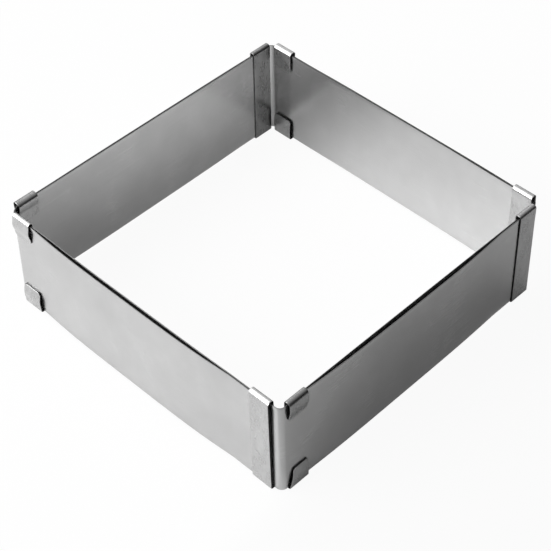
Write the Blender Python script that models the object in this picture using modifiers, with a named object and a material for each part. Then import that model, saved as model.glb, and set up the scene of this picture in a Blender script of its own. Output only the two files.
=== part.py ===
"""Adjustable square cake frame, pushed shut.

Four sheets, each bent to a right angle, overlap along the four walls. A folded clip is welded to
the free end of every leg and hooks over the top and bottom edges of the sheet that slides past it,
so the frame opens in width and in depth. Metres, +Z up. The origin is under the middle of the
frame, on the surface that it stands on.
"""

import math

import bmesh
import bpy
from mathutils import Vector

# The frame pushed shut, measured over the outer sheets
CLOSED_WIDTH = 0.160
CLOSED_DEPTH = 0.160

# The bent sheets
SHEET_HEIGHT = 0.0495
SHEET_THICKNESS = 0.0004
RUNNING_GAP = 0.0003
BEND_RADIUS = 0.0035
SHUT_GAP = 0.0005

# The folded clips
CLIP_WIDTH = 0.0104
CLIP_THICKNESS = 0.0006
WELD_GAP = 0.00005
EDGE_GAP = 0.0001
FOLD_ROOM = 0.00065
FOLD_FLAT = 0.0006
EAR_LENGTH = 0.0100
EAR_GAP = 0.00025
EAR_CORNER_RADIUS = 0.0013

# How finely the curves are cut
BEND_SEGMENTS = 10
FOLD_SEGMENTS = 5
EAR_SEGMENTS = 4
CORNER_SEGMENTS = 4

# What follows from the sizes above
INSET = SHEET_THICKNESS + RUNNING_GAP
PAIR_THICKNESS = INSET + SHEET_THICKNESS
FOLD_INSIDE = WELD_GAP + PAIR_THICKNESS + FOLD_ROOM
FOLD_RADIUS = (FOLD_INSIDE - FOLD_FLAT) / 2
FOLD_RISE = EDGE_GAP + FOLD_RADIUS + CLIP_THICKNESS
MIDDLE_HEIGHT = FOLD_RISE + SHEET_HEIGHT / 2
OUTER_LEG_STOP = BEND_RADIUS + SHUT_GAP
INNER_LEG_STOP = INSET + BEND_RADIUS + SHUT_GAP

STEEL = (0.60, 0.60, 0.61)
CLIP_STEEL = (0.55, 0.55, 0.56)


def clear_scene():
    for obj in list(bpy.data.objects):
        bpy.data.objects.remove(obj, do_unlink=True)


def parts_collection(name):
    collection = bpy.data.collections.new(name)
    bpy.context.scene.collection.children.link(collection)
    return collection


def steel_material(name, colour, roughness):
    material = bpy.data.materials.new(name)
    material.use_nodes = True
    shader = material.node_tree.nodes["Principled BSDF"]
    shader.inputs["Base Color"].default_value = (*colour, 1.0)
    shader.inputs["Metallic"].default_value = 1.0
    shader.inputs["Roughness"].default_value = roughness
    return material


def arc(centre, radius, start_degrees, end_degrees, segments):
    """Points of an arc, both ends included, as pairs."""
    points = []
    for step in range(segments + 1):
        angle = math.radians(start_degrees + (end_degrees - start_degrees) * step / segments)
        points.append((centre[0] + radius * math.cos(angle), centre[1] + radius * math.sin(angle)))
    return points


def swept_surface(name, points, sweep, marked=None):
    """An open surface: the points joined by edges and extruded once along the sweep.

    The vertices at the marked point, on both sides of the surface, go into a vertex group.
    """
    surface = bmesh.new()
    weights = surface.verts.layers.deform.verify()
    line = [surface.verts.new(point) for point in points]
    edges = [surface.edges.new(pair) for pair in zip(line, line[1:])]
    if marked is not None:
        line[marked][weights][0] = 1.0
    swept = bmesh.ops.extrude_edge_only(surface, edges=edges)["geom"]
    moved = [item for item in swept if isinstance(item, bmesh.types.BMVert)]
    bmesh.ops.translate(surface, verts=moved, vec=sweep)
    mesh = bpy.data.meshes.new(name)
    surface.to_mesh(mesh)
    surface.free()
    return mesh


def thicken(obj, thickness):
    """Thickness is added on the side that the surface's faces point to."""
    solidify = obj.modifiers.new("sheet thickness", "SOLIDIFY")
    solidify.thickness = thickness
    solidify.offset = 1
    solidify.use_even_offset = True
    solidify.use_rim = True


def smooth_round_faces(mesh):
    mesh.shade_smooth()
    mesh.set_sharp_from_angle(angle=math.radians(30))


def sheet_mesh(name, outer_leg, inner_leg):
    """The outer face of a bent sheet. Its corner is at the origin of the corner's empty.

    The outer leg runs along +X in the wall's outer plane. The inner leg runs along +Y, set in by
    one sheet and the running gap, so that the next corner's outer leg passes outside it.
    """
    bend_centre = (INSET + BEND_RADIUS, BEND_RADIUS)
    outline = [(INSET, inner_leg)]
    outline += arc(bend_centre, BEND_RADIUS, 180, 270, BEND_SEGMENTS)
    outline.append((outer_leg, 0))
    points = [(x, y, FOLD_RISE) for x, y in outline]
    return swept_surface(name, points, Vector((0, 0, SHEET_HEIGHT)))


def ear_points():
    """The ear's inner face, from the fold down to its free edge, as (distance, height) pairs.

    It leaves the fold upright and curves in towards the far sheet: the room that it leaves there
    shrinks with the square of the way down.
    """
    start = SHEET_HEIGHT / 2 + EDGE_GAP
    points = []
    for step in range(1, EAR_SEGMENTS + 1):
        way = step / EAR_SEGMENTS
        room = EAR_GAP + (FOLD_ROOM - EAR_GAP) * (1 - way * way)
        points.append((PAIR_THICKNESS + room, start - EAR_LENGTH * way))
    return points


def clip_mesh(name):
    """The inner face of the upper half of a clip, open at the clip's middle height.

    Locally X runs along the wall and Y from the welded strip, across both sheets, to the ear. Y
    is zero on the face of the sheet that the strip is welded to, and Z at the sheet's middle.
    """
    start = SHEET_HEIGHT / 2 + EDGE_GAP
    strip_face = -WELD_GAP
    near_centre = (strip_face + FOLD_RADIUS, start)
    far_centre = (PAIR_THICKNESS + FOLD_ROOM - FOLD_RADIUS, start)
    outline = [(strip_face, 0)]
    outline += arc(near_centre, FOLD_RADIUS, 180, 90, FOLD_SEGMENTS)
    outline += arc(far_centre, FOLD_RADIUS, 90, 0, FOLD_SEGMENTS)
    outline += ear_points()
    points = [(-CLIP_WIDTH / 2, across, height) for across, height in outline]
    return swept_surface(name, points, Vector((CLIP_WIDTH, 0, 0)), marked=-1)


def add_object(name, mesh, parent, collection, material):
    obj = bpy.data.objects.new(name, mesh)
    obj.parent = parent
    obj.data.materials.clear()
    obj.data.materials.append(material)
    collection.objects.link(obj)
    return obj


def add_sheet(name, outer_leg, inner_leg, corner, collection):
    material = steel_material(name + "_steel", STEEL, 0.32)
    mesh = sheet_mesh(name, outer_leg, inner_leg)
    sheet = add_object(name, mesh, corner, collection, material)
    thicken(sheet, SHEET_THICKNESS)
    smooth_round_faces(mesh)
    return sheet


def add_clip(name, location, turn_degrees, corner, collection):
    """A clip stands on its sheet's free end, turned so that its local Y crosses the wall."""
    material = steel_material(name + "_steel", CLIP_STEEL, 0.38)
    mesh = clip_mesh(name)
    clip = add_object(name, mesh, corner, collection, material)
    clip.vertex_groups.new(name="ear corners")
    clip.location = location
    clip.rotation_euler = (0, 0, math.radians(turn_degrees))

    halves = clip.modifiers.new("both halves", "MIRROR")
    halves.use_axis = (False, False, True)
    halves.merge_threshold = 0.000001

    rounded = clip.modifiers.new("round ear corners", "BEVEL")
    rounded.affect = "VERTICES"
    rounded.limit_method = "VGROUP"
    rounded.vertex_group = "ear corners"
    rounded.width = EAR_CORNER_RADIUS
    rounded.segments = CORNER_SEGMENTS

    thicken(clip, CLIP_THICKNESS)
    smooth_round_faces(mesh)
    return clip


def add_corner(name, place, quarter_turns, outer_wall, inner_wall, collection):
    """One sliding corner: an empty on the walls' outer planes, a bent sheet and its two clips.

    outer_wall and inner_wall are the shut lengths of the walls that the two legs lie on.
    """
    corner = bpy.data.objects.new(name + "_corner", None)
    corner.location = place
    corner.rotation_euler = (0, 0, math.radians(90 * quarter_turns))
    collection.objects.link(corner)

    outer_leg = outer_wall - OUTER_LEG_STOP
    inner_leg = inner_wall - INNER_LEG_STOP
    add_sheet(name + "_sheet", outer_leg, inner_leg, corner, collection)

    outer_place = (outer_leg - CLIP_WIDTH / 2, 0, MIDDLE_HEIGHT)
    add_clip(name + "_outer_clip", outer_place, 0, corner, collection)

    inner_place = (PAIR_THICKNESS, inner_leg - CLIP_WIDTH / 2, MIDDLE_HEIGHT)
    add_clip(name + "_inner_clip", inner_place, 90, corner, collection)
    return corner


def build_frame():
    clear_scene()
    collection = parts_collection("adjustable cake frame")
    half_width = CLOSED_WIDTH / 2
    half_depth = CLOSED_DEPTH / 2
    add_corner("front", (-half_width, -half_depth, 0), 0, CLOSED_WIDTH, CLOSED_DEPTH, collection)
    add_corner("right", (half_width, -half_depth, 0), 1, CLOSED_DEPTH, CLOSED_WIDTH, collection)
    add_corner("back", (half_width, half_depth, 0), 2, CLOSED_WIDTH, CLOSED_DEPTH, collection)
    add_corner("left", (-half_width, half_depth, 0), 3, CLOSED_DEPTH, CLOSED_WIDTH, collection)
    both_clips = 2 * CLIP_WIDTH
    print("opens in width by up to", CLOSED_WIDTH - OUTER_LEG_STOP - INNER_LEG_STOP - both_clips)
    print("opens in depth by up to", CLOSED_DEPTH - OUTER_LEG_STOP - INNER_LEG_STOP - both_clips)


build_frame()
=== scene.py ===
"""Looks of an adjustable square cake frame: four bent stainless sheets and eight folded clips.

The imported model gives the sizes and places. Each sheet and clip is made again here as a fine
surface with rounded edges, the slight bow of thin sheet and a satin steel finish. Metres, +Z up.
"""

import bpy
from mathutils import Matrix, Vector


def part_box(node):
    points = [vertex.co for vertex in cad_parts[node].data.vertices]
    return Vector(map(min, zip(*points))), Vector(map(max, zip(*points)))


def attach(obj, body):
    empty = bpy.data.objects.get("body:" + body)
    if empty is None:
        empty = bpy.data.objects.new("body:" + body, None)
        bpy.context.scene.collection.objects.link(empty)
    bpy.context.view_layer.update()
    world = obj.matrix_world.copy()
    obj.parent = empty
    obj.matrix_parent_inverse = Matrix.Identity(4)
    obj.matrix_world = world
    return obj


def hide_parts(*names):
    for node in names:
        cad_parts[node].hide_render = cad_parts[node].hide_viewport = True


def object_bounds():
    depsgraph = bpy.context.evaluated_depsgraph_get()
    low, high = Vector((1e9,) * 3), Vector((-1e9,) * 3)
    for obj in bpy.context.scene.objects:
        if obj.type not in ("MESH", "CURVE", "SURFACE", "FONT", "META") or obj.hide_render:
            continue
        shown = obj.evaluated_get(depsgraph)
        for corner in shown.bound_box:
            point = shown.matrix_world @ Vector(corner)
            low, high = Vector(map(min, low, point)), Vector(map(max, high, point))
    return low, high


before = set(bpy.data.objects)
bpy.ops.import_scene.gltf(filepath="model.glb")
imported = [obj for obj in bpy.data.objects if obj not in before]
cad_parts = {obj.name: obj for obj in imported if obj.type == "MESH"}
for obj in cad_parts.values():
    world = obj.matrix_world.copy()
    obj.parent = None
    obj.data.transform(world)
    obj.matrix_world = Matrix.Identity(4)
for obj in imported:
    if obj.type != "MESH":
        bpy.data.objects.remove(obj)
cad_box = [list(corner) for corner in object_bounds()]

import math

import bpy
import numpy as np
from mathutils import Matrix, Vector

MM = 0.001

# Each corner's quarter turns about Z
QUARTER_TURNS = {"front": 0, "right": 1, "back": 2, "left": 3}

# The flat bars that the pieces are bent from: the metal's thickness, the radius of its cut
# edges, the spans over its width, and whether the edges of its outer face look like the face
SHEET_SECTION = {"thickness": 0.4 * MM, "edge": 0.08 * MM, "spans": 22, "bright_outside": False}
CLIP_SECTION = {"thickness": 0.6 * MM, "edge": 0.14 * MM, "spans": 26, "bright_outside": True}
EDGE_STEPS = 3
SHARP_ANGLE = math.radians(50)

# A bar's materials in order: its faces, its cut sides and, at this place, its cut ends. The cut
# sides and ends are painted dark, as painted shade of the gaps beside them.
END_SLOT = 2

# How finely the sheets and the clips are divided along their way. An ear's stations lie closer
# together towards its free edge, by a power.
LEG_STATIONS = 90
BEND_STATIONS = 28
STRIP_STATIONS = 110
FOLD_STATIONS = 10
EAR_STATIONS = 22
EAR_CROWDING = 1.6

# The clips' folds: the usual radius, the room beside the far sheet, and the length over which a
# strip leans out to a fold that hangs over
FOLD_RADIUS = 1.2 * MM
FOLD_ROOM = 0.65 * MM
OVERHANG_LENGTH = 8 * MM

# Spot welds on the clips' strips, at these shares of the half height
WELD_RADIUS = 1.1 * MM
WELD_DEPTH = 0.035 * MM
WELD_HEIGHT_SHARES = (-0.52, 0.04, 0.55)

# A leg's bow keeps this far from its bend and from its free end, where clips pass
OUTER_BEND_MARGIN = 14.5 * MM
INNER_BEND_MARGIN = 26 * MM
END_MARGIN = 22 * MM
BOW_POWER = 1.3

# How far the legs stand out at the bend and at the free end, each at the bottom and at the top.
# Where two legs pass, they differ by less than the running gap and the ears' gaps.
OUTER_OUT = {
    "front": ((0.70 * MM, 0.0), (0.30 * MM, 0.0)),
    "right": ((0.0, 0.0), (0.20 * MM, 0.12 * MM)),
    "back": ((0.0, 0.0), (0.0, 0.12 * MM)),
    "left": ((0.0, 0.0), (0.0, 0.0)),
}
INNER_OUT = {
    "front": ((0.0, 0.0), (0.0, 0.0)),
    "right": ((0.30 * MM, 0.0), (0.45 * MM, 0.0)),
    "back": ((0.40 * MM, 0.36 * MM), (0.05 * MM, 0.0)),
    "left": ((0.0, 0.14 * MM), (0.0, 0.10 * MM)),
}

# How far an outer leg's free end stands off the sheet behind it, at the bottom and at the top
END_FLARE = {
    "front": (0.0, 0.0),
    "right": (0.0, 0.0),
    "back": (0.0, 0.0),
    "left": (0.0, 0.35 * MM),
}

# How far the legs bow outwards in the middle, at the bottom and at the top edge
OUTER_BOW = {
    "front": (0.75 * MM, 1.25 * MM),
    "right": (0.50 * MM, 0.50 * MM),
    "back": (-0.20 * MM, 0.20 * MM),
    "left": (1.50 * MM, 1.46 * MM),
}
INNER_BOW = {
    "front": (0.41 * MM, 0.41 * MM),
    "right": (-0.05 * MM, -0.05 * MM),
    "back": (0.42 * MM, 0.45 * MM),
    "left": (-0.33 * MM, 0.10 * MM),
}

# The bends' outer radius at the bottom and at the top edge
BEND_RADIUS = {
    "front": (3.0 * MM, 2.7 * MM),
    "right": (4.6 * MM, 4.6 * MM),
    "back": (3.5 * MM, 3.5 * MM),
    "left": (4.2 * MM, 5.6 * MM),
}

# How much further a leg's free end and its clip reach along the wall, at the bottom and at the top
OUTER_REACH = {
    "front": (0.6 * MM, -0.35 * MM),
    "right": (0.5 * MM, 0.5 * MM),
    "back": (-0.5 * MM, -0.7 * MM),
    "left": (0.0, -0.85 * MM),
}
INNER_REACH = {
    "front": (0.0, 0.0),
    "right": (0.0, 0.0),
    "back": (0.9 * MM, 0.9 * MM),
    "left": (1.85 * MM, 1.75 * MM),
}

# How much further than its leg's end a clip reaches along the wall, at the bottom and at the top
CLIP_SHIFT = {
    "front_inner_clip": (-0.3 * MM, 0.5 * MM),
    "left_inner_clip": (0.45 * MM, 0.25 * MM),
}

# How far a clip's upper fold hangs over on the strip's side
OVERHANG = {
    "front_outer_clip": 0.1 * MM,
    "right_outer_clip": 1.1 * MM,
    "back_outer_clip": 0.95 * MM,
    "back_inner_clip": 0.4 * MM,
    "left_inner_clip": 0.1 * MM,
}

# The upper fold's radius on the strip's side, where it isn't the usual one
STRIP_FOLD = {
    "front_outer_clip": 1.4 * MM,
    "left_outer_clip": 1.7 * MM,
    "left_inner_clip": 1.3 * MM,
    "back_inner_clip": 1.6 * MM,
}

# The sheets' tones, of the inner and of the outer leg: painted light and shade, lighter or darker
# copies of one steel for walls that the light falls on differently. The first gives way to the
# second over a short length, at this distance from the inner leg's free end.
SHEET_PAINTED_LIGHT_TONES = {
    "front": (0.62, 0.64),
    "right": (0.62, 0.62),
    "back": (0.70, 0.62),
    "left": (0.51, 0.62),
}
TONE_CHANGE_PLACE = 150 * MM
TONE_CHANGE_LENGTH = 10 * MM

# The clips' tones, and those of the cut edges of sheets and clips. The listed clips are painted
# darker than the usual tone, as painted shade.
CLIP_TONE = 0.57
CLIP_PAINTED_SHADE_TONES = {
    "left_inner_clip": 0.32,
    "right_inner_clip": 0.45,
    "front_outer_clip": 0.52,
    "back_outer_clip": 0.47,
}
# The cut edges' tones: painted shade of the gaps beside them, darker or lighter per corner and clip
SHEET_EDGE_PAINTED_SHADE_TONES = {"front": 0.26, "right": 0.08, "back": 0.10, "left": 0.26}
CLIP_EDGE_PAINTED_SHADE_TONE = 0.02
CLIP_EDGE_PAINTED_SHADE_TONES = {"left_inner_clip": 0.26}

# The satin finishes. Scales are in cells a metre, and a depth is how far the tone changes.
SHEET_FINISH = {
    "roughness": 0.26,
    "grain_scales": (25, 5000, 1),
    "grain_depth": 0.11,
    "smudge_scales": (70, 70, 55),
    "smudge_depth": 0.13,
}
CLIP_FINISH = {
    "roughness": 0.28,
    "grain_scales": (300, 1000, 1),
    "grain_depth": 0.10,
    "smudge_scales": (190, 190, 120),
    "smudge_depth": 0.27,
}

# What both finishes share: large soft clouds, whose depth is a share of the smudges', how far
# smudges and grain change the roughness, and the relief of the grain's scratches
CLOUD_SCALES = (17, 17, 23)
CLOUD_SHARE = 0.6
SMUDGE_ROUGHNESS = 0.05
GRAIN_ROUGHNESS = 0.06
RELIEF_STRENGTH = 0.08
RELIEF_DEPTH = 0.02 * MM

# The sheared edges: short marks, in cells a metre, the roughness and how far the marks change it
CUT_MARK_SCALES = (2500, 2500, 900)
CUT_ROUGHNESS = 0.5
CUT_MARK_ROUGHNESS = 0.3

# The floor, and how much painted shade darkens it over a short and over a long way towards the
# front. Both start a little inside the object's front side.
FLOOR_REACH = 8.0
FLOOR_TONE = 0.85
FLOOR_ROUGHNESS = 0.9
DARKENING_INSIDE = 3.25 * MM
NEAR_LENGTH = 12 * MM
NEAR_DARKENING = 0.28
FAR_LENGTH = 150 * MM
FAR_DARKENING = 0.34

# How self-lit the floor is: to the camera, and as steel mirrors it where the darkening starts,
# with what it gains there for each metre further back
SEEN_GLOW = 0.94
MIRRORED_GLOW = 0.05
MIRRORED_GAIN = 0.8

# The room's light at its dimmest and at its brightest place, and the way towards that place
ROOM_DIM = 0.02
ROOM_BRIGHT = 0.68
ROOM_BRIGHT_PLACE = (0, 0.42, 0.91)

# The soft lights: the way towards each, its distance, its width, its height and its radiance
SOFTBOXES = {
    "key": ((-0.80, 0.45, 0.57), 2.2, 2.2, 1.5, 4.9),
    "high": ((-0.12, 0.54, 0.83), 1.4, 1.0, 0.8, 1.8),
    "back_right": ((0.62, 0.60, 0.50), 1.4, 1.0, 0.7, 0.7),
}

# The photograph's view: the camera's place, its angles in degrees, and the focal length of its
# long lens in the photograph's pixels
CAMERA_PLACE = (-0.36118, -0.35796, 0.52503)
CAMERA_AZIMUTH = 45.26
CAMERA_DOWN = 45.41
CAMERA_ROLL = -0.74
FOCAL_PIXELS = 1640.6
PHOTO_PIXELS = 551
SENSOR_WIDTH = 36


class Ear:
    """One ear of a clip, from its fold to its free edge. Its sizes are given in millimetres.

    length is measured from where the usual fold ends, and corner is the radius of its two
    corners. fold is the radius of the fold on its side, which stands out by the spread. The room
    between the ear and the sheet shrinks to gap at the touch share of the length, and bulge is
    what it stands out more on the way. slants draw in its two sides towards the free edge.
    """

    def __init__(self, length=10.0, corner=1.3, fold=FOLD_RADIUS / MM, spread=0.0, gap=0.06,
                 bulge=0.3, touch_share=0.85, slants=(0.0, 0.0)):
        self.fold = fold * MM
        self.spread = spread * MM
        self.length = length * MM + FOLD_RADIUS - self.fold
        self.corner = corner * MM
        self.gap = gap * MM
        self.bulge = bulge * MM
        self.touch_share = touch_share
        self.slant_low = slants[0] * MM
        self.slant_high = slants[1] * MM

    def room(self, way):
        """gap + (fold's room - gap) * (1 - way squared) + bulge * the square of sin(pi * way).

        The way goes from 0 at the fold to 1 at the touch share, and stays 1 from there on.
        """
        way = np.minimum(way / self.touch_share, 1)
        narrowing = (FOLD_ROOM + self.spread - self.gap) * (1 - way ** 2)
        return self.gap + narrowing + self.bulge * np.sin(math.pi * way) ** 2

    def inset(self, way):
        """How far a rounded corner draws in the ear's side: a quarter circle before the edge."""
        past_start = np.clip(self.corner - self.length * (1 - way), 0, self.corner)
        return self.corner - np.sqrt(self.corner ** 2 - past_start ** 2)


PLAIN_TOP = Ear()
PLAIN_BOTTOM = Ear(gap=0.12, touch_share=1.0)
TOP_EARS = {
    "right_inner_clip": Ear(length=9.2, fold=2.1, spread=0.4, bulge=0.2),
    "front_inner_clip": Ear(fold=1.4, spread=-0.3, bulge=0.6),
    "back_outer_clip": Ear(fold=2.0, spread=0.1, bulge=0.0, touch_share=0.4),
    "back_inner_clip": Ear(gap=0.20),
    "right_outer_clip": Ear(fold=1.5, spread=-0.35, gap=0.20, bulge=0.10),
}
BOTTOM_EARS = {
    "right_inner_clip": Ear(length=9.6, corner=0.7, gap=0.30, touch_share=1.0, slants=(0.0, 2.3)),
    "front_inner_clip": Ear(gap=0.08, bulge=0.4, touch_share=1.0),
    "back_inner_clip": Ear(gap=0.24, touch_share=1.0),
    "right_outer_clip": Ear(gap=0.30, touch_share=1.0),
}


class Value:
    """The output of a shader node. Sums and products of it add Math nodes."""

    def __init__(self, nodes, socket):
        self.nodes = nodes
        self.socket = socket

    def maths(self, operation, first, second):
        return self.nodes.add("ShaderNodeMath", {"operation": operation}, {0: first, 1: second})

    def __add__(self, other):
        return self.maths("ADD", self, other)

    def __radd__(self, other):
        return self.maths("ADD", other, self)

    def __sub__(self, other):
        return self.maths("SUBTRACT", self, other)

    def __rsub__(self, other):
        return self.maths("SUBTRACT", other, self)

    def __mul__(self, other):
        return self.maths("MULTIPLY", self, other)

    def __rmul__(self, other):
        return self.maths("MULTIPLY", other, self)

    def clamped(self):
        """The value, kept between 0 and 1."""
        settings = {"operation": "MINIMUM", "use_clamp": True}
        return self.nodes.add("ShaderNodeMath", settings, {0: self, 1: 1.0})


class Nodes:
    """A node tree and the one way of adding nodes to it."""

    def __init__(self, tree):
        self.tree = tree

    def add(self, kind, settings=None, sockets=None, output=0):
        """Adds a node, sets its settings and then its sockets, and gives one of its outputs."""
        node = self.tree.nodes.new(kind)
        for name, setting in (settings or {}).items():
            setattr(node, name, setting)
        for name, value in (sockets or {}).items():
            self.feed(node.inputs[name], value)
        return Value(self, node.outputs[output])

    def feed(self, socket, value):
        if isinstance(value, Value):
            self.tree.links.new(value.socket, socket)
        else:
            socket.default_value = value


def new_material(name):
    """A new material, its nodes and its shader."""
    material = bpy.data.materials.new(name)
    material.use_nodes = True
    return material, Nodes(material.node_tree), material.node_tree.nodes["Principled BSDF"]


def object_place(nodes):
    """The place on the object, in metres."""
    return nodes.add("ShaderNodeTexCoord", output="Object")


def noise(nodes, place, scales, detail=2.0, roughness=0.5):
    """Noise round zero, less than half up and down, in stretched cells.

    The place is multiplied by the scales, in cells a metre, before the noise is taken there.
    """
    scaled = nodes.add("ShaderNodeVectorMath", {"operation": "MULTIPLY"}, {0: place, 1: scales})
    sockets = {"Vector": scaled, "Scale": 1.0, "Detail": detail, "Roughness": roughness}
    return nodes.add("ShaderNodeTexNoise", {"noise_dimensions": "3D"}, sockets) - 0.5


def grey(nodes, tone):
    """A plain grey of a tone, because the photograph is grey all through."""
    return nodes.add("ShaderNodeCombineColor", None, {0: tone, 1: tone, 2: tone})


def rays(nodes, kind):
    """1 for the rays of a kind and 0 for all others."""
    return nodes.add("ShaderNodeLightPath", output="Is " + kind + " Ray")


def satin_steel(name, tones, roughness, grain_scales, grain_depth, smudge_scales, smudge_depth):
    """Satin stainless: fine grain along one way, soft smudges and a fine scratch relief.

    tone = base tone + smudge depth * (smudges + cloud share * clouds) + grain depth * grain, each
    of the three being noise round zero. The base tone goes from the first of the tones to the
    second past a sheet's bend. The tones of the sheets and of some clips are painted light and
    shade: lighter or darker copies of one steel.
    """
    material, nodes, shader = new_material(name)
    developed = nodes.add("ShaderNodeUVMap", {"uv_map": "developed"})
    base_tone = tones[0]
    if tones[0] != tones[1]:
        along = nodes.add("ShaderNodeSeparateXYZ", None, {0: developed}, "X")
        past_bend = ((along - TONE_CHANGE_PLACE) * (1 / TONE_CHANGE_LENGTH)).clamped()
        base_tone = tones[0] + past_bend * (tones[1] - tones[0])
    place = object_place(nodes)
    grain = noise(nodes, developed, grain_scales, detail=3.0)
    smudges = noise(nodes, place, smudge_scales, detail=3.0, roughness=0.6)
    clouds = noise(nodes, place, CLOUD_SCALES, detail=1.0)
    tone = base_tone + (smudges + clouds * CLOUD_SHARE) * smudge_depth + grain * grain_depth
    nodes.feed(shader.inputs["Base Color"], grey(nodes, tone))
    dullness = roughness + smudges * SMUDGE_ROUGHNESS + grain * GRAIN_ROUGHNESS
    nodes.feed(shader.inputs["Roughness"], dullness)
    relief = {"Strength": RELIEF_STRENGTH, "Distance": RELIEF_DEPTH, "Height": grain}
    nodes.feed(shader.inputs["Normal"], nodes.add("ShaderNodeBump", None, relief))
    shader.inputs["Metallic"].default_value = 1.0
    return material


def cut_steel(name, tone):
    """A sheared edge: dull steel with short marks, painted dark as painted shade of its gap.
    Its tone is tone * (1 + marks).
    """
    material, nodes, shader = new_material(name)
    marks = noise(nodes, object_place(nodes), CUT_MARK_SCALES)
    nodes.feed(shader.inputs["Base Color"], grey(nodes, tone + marks * tone))
    nodes.feed(shader.inputs["Roughness"], CUT_ROUGHNESS + marks * CUT_MARK_ROUGHNESS)
    shader.inputs["Metallic"].default_value = 1.0
    return material


def rounded_section(thickness, edge, spans, bright_outside):
    """One loop round a flat bar's section, as share of width, shift, depth and cut-edge mark.

    A point lies across the bar at share * (half width - edge) + shift, and depth below the outer
    face. The four corners are quarter circles with the edge's radius. They belong to the bar's
    cut edges, apart from the two at a bright outer face.
    """
    turn = np.linspace(0, math.pi / 2, EDGE_STEPS + 1)
    shares = np.linspace(-1, 1, spans + 1)
    ones = np.ones(len(turn))
    zeros = np.zeros(spans)
    out = edge * np.sin(turn)
    down = edge * (1 - np.cos(turn))
    far_out = out[::-1]
    far_down = thickness - down[::-1]
    share = np.concatenate([shares, ones[1:], ones, shares[::-1][1:], -ones[1:], -ones[:-1]])
    shift = np.concatenate([[0], zeros, out[1:], far_out, zeros, -out[1:], -far_out[:-1]])
    depth = np.concatenate(
        [[0], zeros, down[1:], far_down, zeros + thickness, far_down[::-1][1:], down[::-1][:-1]]
    )
    outside = 0 if bright_outside else EDGE_STEPS
    side = np.arange(len(share)) - spans - EDGE_STEPS
    other_side = side - spans - 2 * EDGE_STEPS - 1
    cut = (side >= -outside) & (side <= EDGE_STEPS)
    cut |= (other_side >= -EDGE_STEPS) & (other_side <= outside)
    return share, shift, depth, cut


def rounded_ends(count):
    """Stations for a bar's rounded ends: each end station is repeated with a growing inset.

    Gives the station numbers, the way past the end along the path and the inset, in units of the
    edge's radius: a quarter circle, sine along the path and one less cosine inwards.
    """
    turn = np.linspace(0, math.pi / 2, EDGE_STEPS + 1)[1:]
    first = np.zeros(EDGE_STEPS, int)
    last = np.full(EDGE_STEPS, count - 1)
    number = np.concatenate([first, np.arange(count), last])
    past = np.concatenate([-np.sin(turn[::-1]), np.zeros(count), np.sin(turn)])
    inset = np.concatenate([1 - np.cos(turn[::-1]), np.zeros(count), 1 - np.cos(turn)])
    return number, past, inset


def bar_mesh(name, face, out, across, low, high, section, materials, dents=None):
    """A flat bar carried along a path, as one closed surface.

    face gives the outer face's line and out its normals, as arrays of stations by loop points by
    three, or by one. across is the unit vector over the bar's width, which reaches from low to
    high at each station. Point = face + across * (middle + share * half + shift) - out * depth.
    Both ends are rounded like the sides and closed with one flat face. dents gives the depth of
    dents in the outer face from the station's number and the place over the width. The materials
    are those of the faces, of the cut sides and of the cut ends.
    """
    thickness = section["thickness"]
    edge = section["edge"]
    share, shift, depth, cut = rounded_section(**section)
    number, past, inset = rounded_ends(len(face))
    tangent = np.gradient(face, axis=0)
    tangent /= np.linalg.norm(tangent, axis=2, keepdims=True)
    inset = inset[:, None] * edge
    half = ((high - low) / 2)[number][:, None]
    middle = ((high + low) / 2)[number][:, None]
    over = share * (half - edge) + shift
    over = middle + over * (half - inset) / half
    deep = thickness / 2 + (depth - thickness / 2) * (1 - 2 * inset / thickness)
    if dents is not None:
        deep = deep + dents(number, over) * (1 - depth / thickness)
    points = face[number] + tangent[number] * (past * edge)[:, None, None]
    points = points + np.asarray(across) * over[:, :, None] - out[number] * deep[:, :, None]
    slots = np.tile(cut.astype(np.int32), (len(points) - 1, 1))
    if not section["bright_outside"]:
        slots[:EDGE_STEPS] = END_SLOT
        slots[-EDGE_STEPS:] = END_SLOT
    return grid_mesh(name, points, slots, materials, developed_map(points, over))


def developed_map(points, over):
    """The bar laid flat: the way along the path and the place across the width, in metres."""
    steps = np.linalg.norm(np.diff(points[:, 0], axis=0), axis=1)
    along = np.concatenate([[0], np.cumsum(steps)])
    along = np.broadcast_to(along[:, None], over.shape)
    return np.stack([along, over], 2)


def grid_mesh(name, points, slots, materials, flat):
    """A closed tube of quads over stations and loop points, with a flat face over each end.

    Its faces point outwards: they are turned round where the tube came out inside out, which the
    sum of the faces' normals times their places from the middle tells by its sign.
    """
    stations, loop = points.shape[:2]
    here = np.arange(loop)
    after = (here + 1) % loop
    row = np.arange(stations - 1)[:, None] * loop
    quads = np.stack([row + here, row + after, row + loop + after, row + loop + here], 2)
    quads = quads.reshape(-1, 4)
    first_end = here[::-1]
    last_end = (stations - 1) * loop + here
    corners = points.reshape(-1, 3)[quads] - points.mean((0, 1))
    normals = np.cross(corners[:, 2] - corners[:, 0], corners[:, 3] - corners[:, 1])
    inside_out = (normals * corners.mean(1)).sum() < 0
    faces = quads.tolist() + [first_end.tolist(), last_end.tolist()]
    if inside_out:
        faces = [face[::-1] for face in faces]
    mesh = bpy.data.meshes.new(name)
    mesh.from_pydata(points.reshape(-1, 3), [], faces)
    for material in materials:
        mesh.materials.append(material)
    end_slots = np.full(2, END_SLOT, np.int32)
    mesh.polygons.foreach_set("material_index", np.concatenate([slots.ravel(), end_slots]))
    used = np.zeros(len(mesh.loops), np.int32)
    mesh.loops.foreach_get("vertex_index", used)
    layer = mesh.uv_layers.new(name="developed")
    layer.uv.foreach_set("vector", flat.reshape(-1, 2)[used].astype(np.float32).ravel())
    mesh.shade_smooth()
    mesh.set_sharp_from_angle(angle=SHARP_ANGLE)
    return mesh


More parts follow.
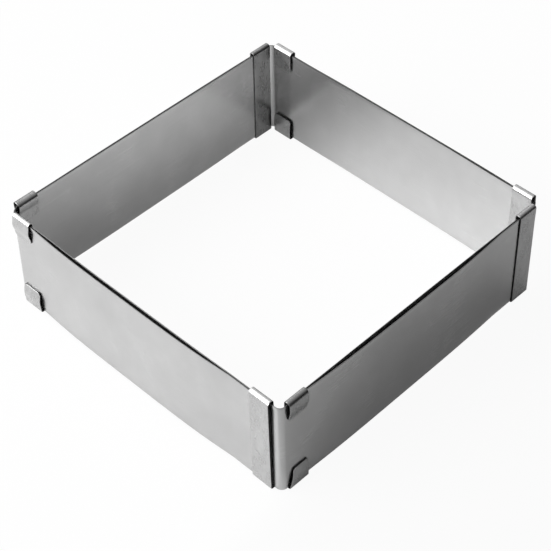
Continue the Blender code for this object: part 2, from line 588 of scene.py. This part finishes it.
def corner_place(corner):
    """The corner where two walls' outer planes meet, at height zero."""
    lows = np.array([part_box(name + "_sheet")[0] for name in QUARTER_TURNS]).min(0)
    highs = np.array([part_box(name + "_sheet")[1] for name in QUARTER_TURNS]).max(0)
    x = highs[0] if corner in ("right", "back") else lows[0]
    y = highs[1] if corner in ("back", "left") else lows[1]
    return np.array([x, y, 0.0])


def turn_matrix(corner):
    """World axes from the corner's own, in which the outer leg runs along +X from the corner."""
    turns = QUARTER_TURNS[corner]
    cosine = (1, 0, -1, 0)[turns]
    sine = (0, 1, 0, -1)[turns]
    return np.array([[cosine, -sine, 0], [sine, cosine, 0], [0, 0, 1.0]])


def own_box(node, corner):
    """A node's lowest and highest corners in its corner's own axes."""
    ends = (np.array(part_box(node)) - corner_place(corner)) @ turn_matrix(corner)
    return ends.min(0), ends.max(0)


def to_world(points, corner):
    """Points in a corner's own axes, turned and moved to where they are."""
    return points @ turn_matrix(corner).T + corner_place(corner)


def bow(along, length, bend_margin, amount):
    """How far a leg bows: amount * (1 - x to the fourth) to a power, x being -1 to 1 along it."""
    middle = (bend_margin + length - END_MARGIN) / 2
    way = (along - middle) / (middle - bend_margin)
    return amount * np.clip(1 - way ** 4, 0, None) ** BOW_POWER


def between(ends, share):
    """From the first of the ends at share -1 to the second at share 1."""
    return ends[0] + (ends[1] - ends[0]) * (share + 1) / 2


def stand_out(ends, way, share):
    """How far a leg stands out, in proportion from its bend, at way 0, to its free end, at 1."""
    at_bend, at_end = (between(end, share) for end in ends)
    return at_bend + (at_end - at_bend) * way


def sheet_plan(corner, share):
    """A sheet's plan line at each share of the height: inner leg, quarter circle, outer leg.

    The bend's radius, the bow and the lean of the ends so change from the bottom edge to the top
    edge. Gives x and y at each station and share, and each station's angle of the normal.
    """
    low, high = own_box(corner + "_sheet", corner)
    radius = between(BEND_RADIUS[corner], share)
    way = np.linspace(0, 1, LEG_STATIONS)[:, None]
    turn = np.linspace(math.pi, 1.5 * math.pi, BEND_STATIONS + 2)[1:-1, None]
    bend_start_x = low[0] - stand_out(INNER_OUT[corner], 0, share)
    bend_start_y = -stand_out(OUTER_OUT[corner], 0, share)

    inner_end = high[1] + between(INNER_REACH[corner], share)
    inner_y = inner_end + (bend_start_y + radius - inner_end) * way
    inner_bow = between(INNER_BOW[corner], share)
    inner_x = low[0] - stand_out(INNER_OUT[corner], 1 - way, share)
    inner_x = inner_x - bow(inner_y, high[1], INNER_BEND_MARGIN, inner_bow)

    bend_x = bend_start_x + radius * (1 + np.cos(turn))
    bend_y = bend_start_y + radius * (1 + np.sin(turn))

    outer_end = high[0] + between(OUTER_REACH[corner], share)
    outer_x = bend_start_x + radius + (outer_end - bend_start_x - radius) * way
    outer_bow = between(OUTER_BOW[corner], share)
    outer_y = -stand_out(OUTER_OUT[corner], way, share)
    outer_y = outer_y - bow(outer_x, high[0], OUTER_BEND_MARGIN, outer_bow)
    clip_start = own_box(corner + "_outer_clip", corner)[0][0]
    under_clip = np.clip((outer_x - clip_start) / (high[0] - clip_start), 0, 1)
    outer_y = outer_y - between(END_FLARE[corner], share) * under_clip ** 2

    x = np.concatenate([inner_x, bend_x, outer_x])
    y = np.concatenate([inner_y, bend_y, outer_y])
    inner_angle = np.full(LEG_STATIONS, math.pi)
    outer_angle = np.full(LEG_STATIONS, 1.5 * math.pi)
    angle = np.concatenate([inner_angle, turn[:, 0], outer_angle])
    return x, y, angle


def add_sheet(corner, materials):
    """A bent sheet: a flat bar as wide as the wall is high, carried along its plan line."""
    name = corner + "_sheet"
    low, high = own_box(name, corner)
    share = rounded_section(**SHEET_SECTION)[0][None, :]
    x, y, angle = sheet_plan(corner, share)
    face = to_world(np.stack([x, y, np.zeros_like(x)], 2), corner)
    out = np.stack([np.cos(angle), np.sin(angle), np.zeros_like(angle)], 1)[:, None, :]
    out = out @ turn_matrix(corner).T
    bottom = np.full(len(angle), low[2])
    top = np.full(len(angle), high[2])
    mesh = bar_mesh(name, face, out, (0, 0, 1), bottom, top, SHEET_SECTION, materials)
    add_piece("bent_" + name, mesh, corner, name)


def half_clip(depth, top, half_width, ear, strip_fold, overhang):
    """The outer face of a clip's upper half, from the strip's middle up and over to the ear's edge.

    Strip straight up, quarter circle, flat, quarter circle, and the ear down, at its room from
    the sheet. Near the top the strip leans out by the overhang, smoothly, and the fold back again
    in proportion. Gives the places over the wall and up, the normals' angles, and the two sides.
    """
    strip_top = top - strip_fold
    ear_top = top - ear.fold
    fold_depth = depth + ear.spread
    rise = np.linspace(0, strip_top, STRIP_STATIONS // 2)
    turn = np.linspace(math.pi, math.pi / 2, FOLD_STATIONS + 1)[1:]
    turn_down = np.linspace(math.pi / 2, 0, FOLD_STATIONS + 1)
    way = 1 - (1 - np.linspace(0, 1, EAR_STATIONS + 1)[1:]) ** EAR_CROWDING
    lean = np.clip(1 - (strip_top - rise) / OVERHANG_LENGTH, 0, 1)
    strip = -overhang * lean ** 2 * (3 - 2 * lean)
    strip_side = strip_fold * (1 + np.cos(turn))
    ear_side = fold_depth - ear.fold * (1 - np.cos(turn_down))
    fold = np.concatenate([strip_side, ear_side])
    fold = fold - overhang * (1 - fold / fold_depth)
    room = ear.room(way)
    over = np.concatenate([strip, fold, depth - FOLD_ROOM + room])
    up = np.concatenate([
        rise,
        strip_top + strip_fold * np.sin(turn),
        ear_top + ear.fold * np.sin(turn_down),
        ear_top - ear.length * way,
    ])
    tilt = np.arctan(np.gradient(room, ear.length * way))
    angle = np.concatenate([np.full(len(rise), math.pi), turn, turn_down, tilt])
    plain = np.zeros(len(angle) - len(way))
    low = -half_width + np.concatenate([plain, ear.inset(way) + ear.slant_low * way])
    high = half_width - np.concatenate([plain, ear.inset(way) + ear.slant_high * way])
    return over, up, angle, low, high


def folded_line(name, depth, half_height, half_width):
    """A clip's whole outer face, from its upper ear's edge down to its lower ear's.

    It is an upper half from its end to its start, and from there a second one, turned over: its
    heights and angles are negative.
    """
    top_ear = TOP_EARS.get(name, PLAIN_TOP)
    bottom_ear = BOTTOM_EARS.get(name, PLAIN_BOTTOM)
    top_fold = STRIP_FOLD.get(name, FOLD_RADIUS)
    upper = half_clip(depth, half_height, half_width, top_ear, top_fold, OVERHANG.get(name, 0.0))
    lower = half_clip(depth, half_height, half_width, bottom_ear, FOLD_RADIUS, 0.0)
    halves = zip(upper, lower, (1, -1, -1, 1, 1))
    return [np.concatenate([above[::-1], sign * below[1:]]) for above, below, sign in halves]


def weld_dents(angle, up, half_height):
    """The depth of the spot welds' dents, from stations' numbers and places over the width.

    Depth = weld depth * the sum of exp(-(distance / weld radius) squared) over the welds, on the
    strip alone, where the normal is level.
    """
    on_strip = np.abs(angle) == math.pi

    def dents(number, place):
        total = np.zeros_like(place)
        for share in WELD_HEIGHT_SHARES:
            distance_squared = place ** 2 + (up - share * half_height)[number, None] ** 2
            total += np.exp(-distance_squared / WELD_RADIUS ** 2)
        return WELD_DEPTH * total * on_strip[number, None]

    return dents


def add_clip(corner, leg, materials):
    """A folded clip at the end of a leg: strip, two folds and two ears, bent from one flat bar."""
    name = corner + "_" + leg + "_clip"
    low, high = own_box(name, corner)
    size = high - low
    middle = (low + high) / 2
    half_height = size[2] / 2
    outer = leg == "outer"
    width, depth = (size[0], size[1]) if outer else (size[1], size[0])
    over, up, angle, left, right = folded_line(name, depth, half_height, width / 2)
    dents = weld_dents(angle, up, half_height)
    share = up / half_height
    zeros = np.zeros_like(over)
    reach = between((OUTER_REACH if outer else INNER_REACH)[corner], share)
    reach = reach + between(CLIP_SHIFT.get(name, (0.0, 0.0)), share)
    if outer:
        flare = between(END_FLARE[corner], share) * np.clip(1 - over / depth, 0, 1)
        over = over - stand_out(OUTER_OUT[corner], 1, share) - flare
        face = np.stack([middle[0] + reach, low[1] + over, middle[2] + up], 1)
        out = np.stack([zeros, np.cos(angle), np.sin(angle)], 1)
        across = (1.0, 0, 0)
    else:
        over = over + stand_out(INNER_OUT[corner], 1, share)
        face = np.stack([high[0] - over, middle[1] + reach, middle[2] + up], 1)
        out = np.stack([-np.cos(angle), zeros, np.sin(angle)], 1)
        across = (0, 1.0, 0)
    face = to_world(face, corner)[:, None, :]
    out = (out @ turn_matrix(corner).T)[:, None, :]
    across = np.array(across) @ turn_matrix(corner).T
    mesh = bar_mesh(name, face, out, across, left, right, CLIP_SECTION, materials, dents)
    add_piece("folded_" + name, mesh, corner, name)


def add_object(name, data):
    obj = bpy.data.objects.new(name, data)
    bpy.context.scene.collection.objects.link(obj)
    return obj


def add_piece(name, mesh, corner, node):
    """A piece that stands for a node and rides on its corner, with the node's own part hidden."""
    piece = add_object(name, mesh)
    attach(piece, corner + "_corner")
    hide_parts(node)


def dress_frame():
    """All sheets and clips.

    Each has a satin steel and a cut steel of its own tones, painted light and shade per wall and
    clip. The sheets' cut ends share one, which is as dark as the clips' edges: painted shade of the
    gaps at the ends.
    """
    painted_shade_end = cut_steel("sheared_end_painted_shade", CLIP_EDGE_PAINTED_SHADE_TONE)
    for corner in QUARTER_TURNS:
        steel = satin_steel(corner + "_satin_sheet_steel", SHEET_PAINTED_LIGHT_TONES[corner], **SHEET_FINISH)
        edge = cut_steel(corner + "_sheared_edge_painted_shade", SHEET_EDGE_PAINTED_SHADE_TONES[corner])
        add_sheet(corner, [steel, edge, painted_shade_end])
        for leg in ("outer", "inner"):
            clip = corner + "_" + leg + "_clip"
            tone = CLIP_PAINTED_SHADE_TONES.get(clip, CLIP_TONE)
            steel = satin_steel(clip + "_satin_steel", (tone, tone), **CLIP_FINISH)
            edge = cut_steel(clip + "_sheared_edge_painted_shade", CLIP_EDGE_PAINTED_SHADE_TONES.get(clip, CLIP_EDGE_PAINTED_SHADE_TONE))
            add_clip(corner, leg, [steel, edge, edge])


def pale_floor():
    """The floor's material: pale, with painted shade towards the front, and partly self-lit.

    tone = floor tone * (1 - near darkening * near - far darkening * far), where near and far go
    from 0 to 1 over their lengths, forward from the object's front side. Camera and transmission
    rays see it so self-lit that it is near white. Glossy rays see it self-lit by mirrored glow +
    mirrored gain * the way back from there, so that the walls darken towards their foot.
    """
    material, nodes, shader = new_material("pale_floor")
    start = cad_box[0][1] + DARKENING_INSIDE
    forward = start - nodes.add("ShaderNodeSeparateXYZ", None, {0: object_place(nodes)}, "Y")
    near = (forward * (1 / NEAR_LENGTH)).clamped()
    far = (forward * (1 / FAR_LENGTH)).clamped()
    tone = FLOOR_TONE * (1.0 - near * NEAR_DARKENING - far * FAR_DARKENING)
    nodes.feed(shader.inputs["Base Color"], grey(nodes, tone))
    shader.inputs["Roughness"].default_value = FLOOR_ROUGHNESS
    shader.inputs["Specular IOR Level"].default_value = 0.0
    mirrored = (MIRRORED_GLOW - forward * MIRRORED_GAIN).clamped()
    seen = rays(nodes, "Camera") + rays(nodes, "Transmission")
    glow = seen * SEEN_GLOW + rays(nodes, "Glossy") * mirrored
    white = nodes.add("ShaderNodeEmission", None, {"Color": (1, 1, 1, 1), "Strength": 1.0})
    lit = Value(nodes, shader.outputs[0])
    mixed = nodes.add("ShaderNodeMixShader", None, {0: glow, 1: lit, 2: white})
    nodes.feed(nodes.tree.nodes["Material Output"].inputs["Surface"], mixed)
    return material


def add_floor():
    """A flat square floor that reaches the same way to all sides."""
    mesh = bpy.data.meshes.new("floor")
    signs = ((-1, -1), (1, -1), (1, 1), (-1, 1))
    places = [(x * FLOOR_REACH, y * FLOOR_REACH, 0) for x, y in signs]
    mesh.from_pydata(places, [], [(0, 1, 2, 3)])
    mesh.materials.append(pale_floor())
    floor = add_object("floor", mesh)


def add_softbox(name, direction, distance, width, height, radiance):
    """A rectangular soft light, aimed at the frame. Power = radiance * pi * area."""
    light = bpy.data.lights.new(name, "AREA")
    light.shape = "RECTANGLE"
    light.size = width
    light.size_y = height
    light.energy = radiance * math.pi * width * height
    lamp = add_object(name, light)
    towards = Vector(direction).normalized()
    lamp.location = towards * distance
    lamp.rotation_euler = towards.to_track_quat("Z", "Y").to_euler()


def add_room():
    """A dim room. Its light is dim + (bright - dim) * the square of a cosine.

    The cosine is that of the angle to the brightest place, and zero past a right angle. Steel
    mirrors this room as it is, and the camera sees plain white past the floor's edge.
    """
    world = bpy.data.worlds.new("studio")
    bpy.context.scene.world = world
    world.use_nodes = True
    nodes = Nodes(world.node_tree)
    direction = nodes.add("ShaderNodeTexCoord", output="Generated")
    sockets = {0: direction, 1: Vector(ROOM_BRIGHT_PLACE).normalized()}
    cosine = nodes.add("ShaderNodeVectorMath", {"operation": "DOT_PRODUCT"}, sockets, "Value")
    cosine = cosine.clamped()
    light = ROOM_DIM + (ROOM_BRIGHT - ROOM_DIM) * (cosine * cosine)
    seen = rays(nodes, "Camera") + rays(nodes, "Transmission")
    background = world.node_tree.nodes["Background"]
    background.inputs["Color"].default_value = (1, 1, 1, 1)
    nodes.feed(background.inputs["Strength"], light + seen * (1.0 - light))


def add_camera():
    """The photograph's view: from the front corner, 45 degrees down, with a long lens."""
    azimuth = math.radians(CAMERA_AZIMUTH)
    down = math.radians(CAMERA_DOWN)
    roll = math.radians(CAMERA_ROLL)
    camera_data = bpy.data.cameras.new("camera")
    camera_data.sensor_width = SENSOR_WIDTH
    camera_data.lens = SENSOR_WIDTH * FOCAL_PIXELS / PHOTO_PIXELS
    camera = add_object("camera", camera_data)
    flat = math.cos(down)
    forward = Vector((math.sin(azimuth) * flat, math.cos(azimuth) * flat, -math.sin(down)))
    right = Vector((math.cos(azimuth), -math.sin(azimuth), 0))
    up = right.cross(forward)
    turned_right = math.cos(roll) * right + math.sin(roll) * up
    turned_up = math.cos(roll) * up - math.sin(roll) * right
    axes = Matrix((turned_right, turned_up, -forward)).transposed()
    camera.matrix_world = Matrix.Translation(CAMERA_PLACE) @ axes.to_4x4()
    bpy.context.scene.camera = camera


dress_frame()
add_floor()
for softbox, settings in SOFTBOXES.items():
    add_softbox(softbox, *settings)
add_room()
add_camera()
bpy.context.scene.view_settings.view_transform = "Standard"
